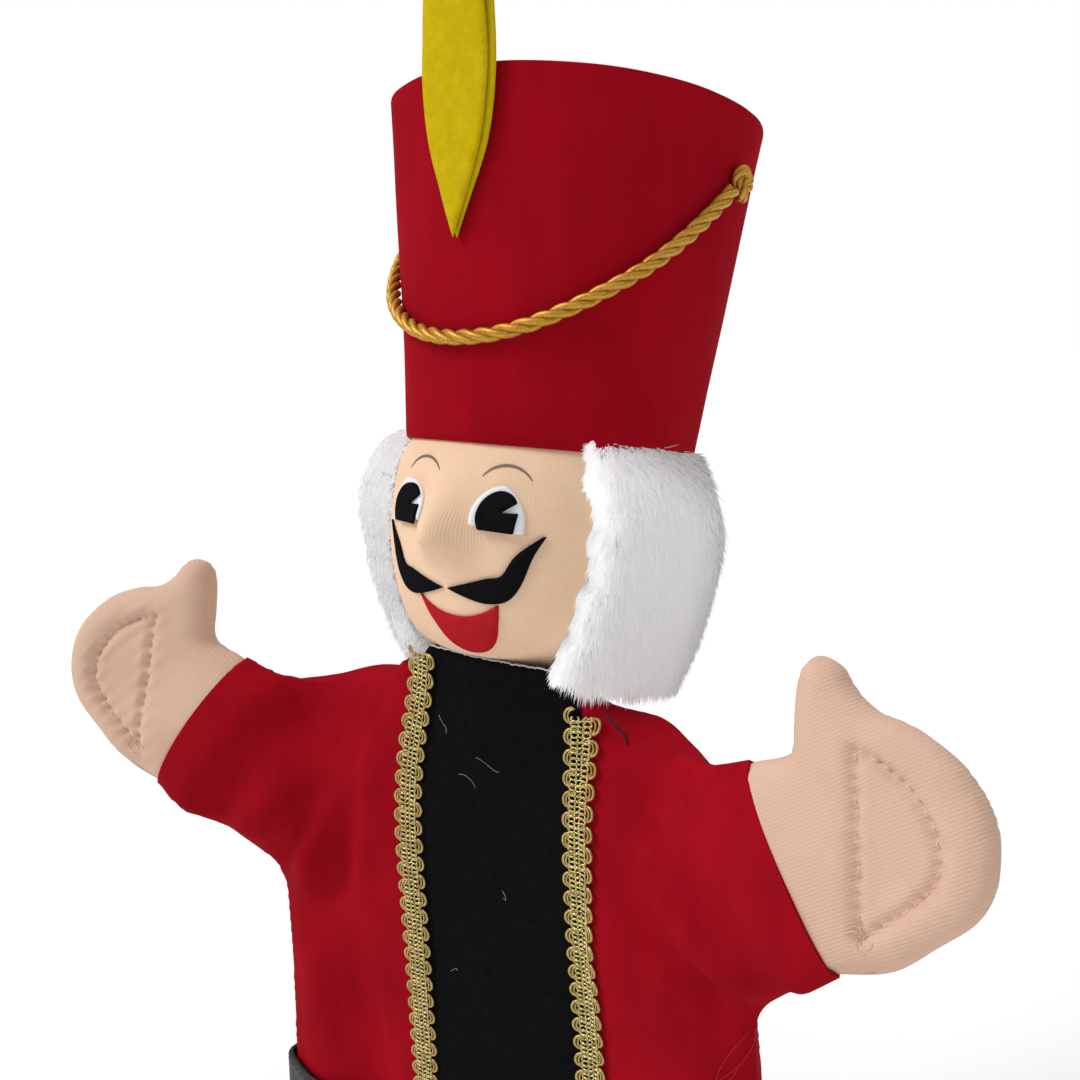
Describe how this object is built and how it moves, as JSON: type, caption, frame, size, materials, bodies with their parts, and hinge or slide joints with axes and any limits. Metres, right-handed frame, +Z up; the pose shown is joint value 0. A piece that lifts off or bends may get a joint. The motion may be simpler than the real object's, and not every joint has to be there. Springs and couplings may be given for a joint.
{
  "type": "hand puppet",
  "caption": "Glove puppet dressed as a red-coated soldier, with a tall flared hat, white wig, gold braid and mitten hands, worked by fingers in its head and arms.",
  "frame": {"origin": "centre of the hand opening at the coat's hem, between the side seams' line and the back", "axes": "+Z up towards the head, -Y to the puppet's front, +X to the puppet's own left"},
  "size_m": [0.2986, 0.1367, 0.4706],
  "materials": {
    "coat_cotton": "plain weave cotton",
    "hat_cotton": "plain weave cotton, smooth over the board",
    "hem_tape": "turned-up cotton",
    "panel_felt": "black felt",
    "gold_braid": "metallic scroll gimp",
    "belt_leather": "dull black leathercloth",
    "wig_fur": "long-pile fur fabric",
    "plume_felt": "felt",
    "gold_cord": "twisted rayon",
    "board": "grey board",
    "face_stockinette": "fine knit",
    "hand_jersey": "fine rib knit",
    "hand_thread": "machine thread",
    "wadding": "polyester wadding",
    "binding_thread": "wound thread",
    "mouth_felt": "felt",
    "eye_felt": "felt",
    "pupil_felt": "felt",
    "moustache_felt": "felt",
    "brow_thread": "single strand embroidery"
  },
  "bodies": {
    "coat": {"left_coat_front": "coat_cotton", "right_coat_front": "coat_cotton", "left_coat_back": "coat_cotton", "right_coat_back": "coat_cotton", "front_panel": "panel_felt", "left_trim": "gold_braid", "right_trim": "gold_braid", "belt": "belt_leather", "hem_facing": "hem_tape"},
    "neck": {"neck_binding": "binding_thread", "neck_sleeve": "face_stockinette"},
    "left_shoulder": {"left_upper_sleeve_front": "coat_cotton", "left_upper_sleeve_back": "coat_cotton"},
    "right_shoulder": {"right_upper_sleeve_front": "coat_cotton", "right_upper_sleeve_back": "coat_cotton"},
    "left_arm": {"left_lower_sleeve_front": "coat_cotton", "left_lower_sleeve_back": "coat_cotton", "left_hand_front": "hand_jersey", "left_hand_back": "hand_jersey", "left_hand_wadding": "wadding", "left_hand_stitching": "hand_thread"},
    "right_arm": {"right_lower_sleeve_front": "coat_cotton", "right_lower_sleeve_back": "coat_cotton", "right_hand_front": "hand_jersey", "right_hand_back": "hand_jersey", "right_hand_wadding": "wadding", "right_hand_stitching": "hand_thread"},
    "head": {"face_cover": "face_stockinette", "finger_tube": "board", "hat_board": "board", "hat_cord": "gold_cord", "hat_cover": "hat_cotton", "hat_hem": "hat_cotton", "hat_top_board": "board", "hat_top_cover": "hat_cotton", "head_stuffing": "wadding", "left_cord_knot": "gold_cord", "left_eye_white": "eye_felt", "left_eyebrow": "brow_thread", "left_moustache": "moustache_felt", "left_pupil": "pupil_felt", "left_wig": "wig_fur", "mouth": "mouth_felt", "nose": "wadding", "plume_back": "plume_felt", "plume_front": "plume_felt", "right_cord_knot": "gold_cord", "right_eye_white": "eye_felt", "right_eyebrow": "brow_thread", "right_moustache": "moustache_felt", "right_pupil": "pupil_felt", "right_wig": "wig_fur"}
  },
  "joints": [
    {"name": "head_nod", "type": "hinge", "parent": "coat", "child": "neck", "pos_m": [0, 0, 0.24], "axis": [1, 0, 0], "range_deg": [-15, 12]},
    {"name": "head_turn", "type": "hinge", "parent": "neck", "child": "head", "pos_m": [0, 0, 0.24], "axis": [0, 0, 1], "range_deg": [-40, 40]},
    {"name": "left_arm_raise", "type": "hinge", "parent": "coat", "child": "left_shoulder", "pos_m": [0.052, -0.0035, 0.196], "axis": [0, -1, 0], "range_deg": [-25, 15]},
    {"name": "left_arm_swing", "type": "hinge", "parent": "left_shoulder", "child": "left_arm", "pos_m": [0.074, -0.018, 0.203], "axis": [0, 0, -1], "range_deg": [-20, 16]},
    {"name": "right_arm_raise", "type": "hinge", "parent": "coat", "child": "right_shoulder", "pos_m": [-0.052, -0.0035, 0.196], "axis": [0, 1, 0], "range_deg": [-25, 15]},
    {"name": "right_arm_swing", "type": "hinge", "parent": "right_shoulder", "child": "right_arm", "pos_m": [-0.074, -0.018, 0.203], "axis": [0, 0, 1], "range_deg": [-20, 16]}
  ]
}
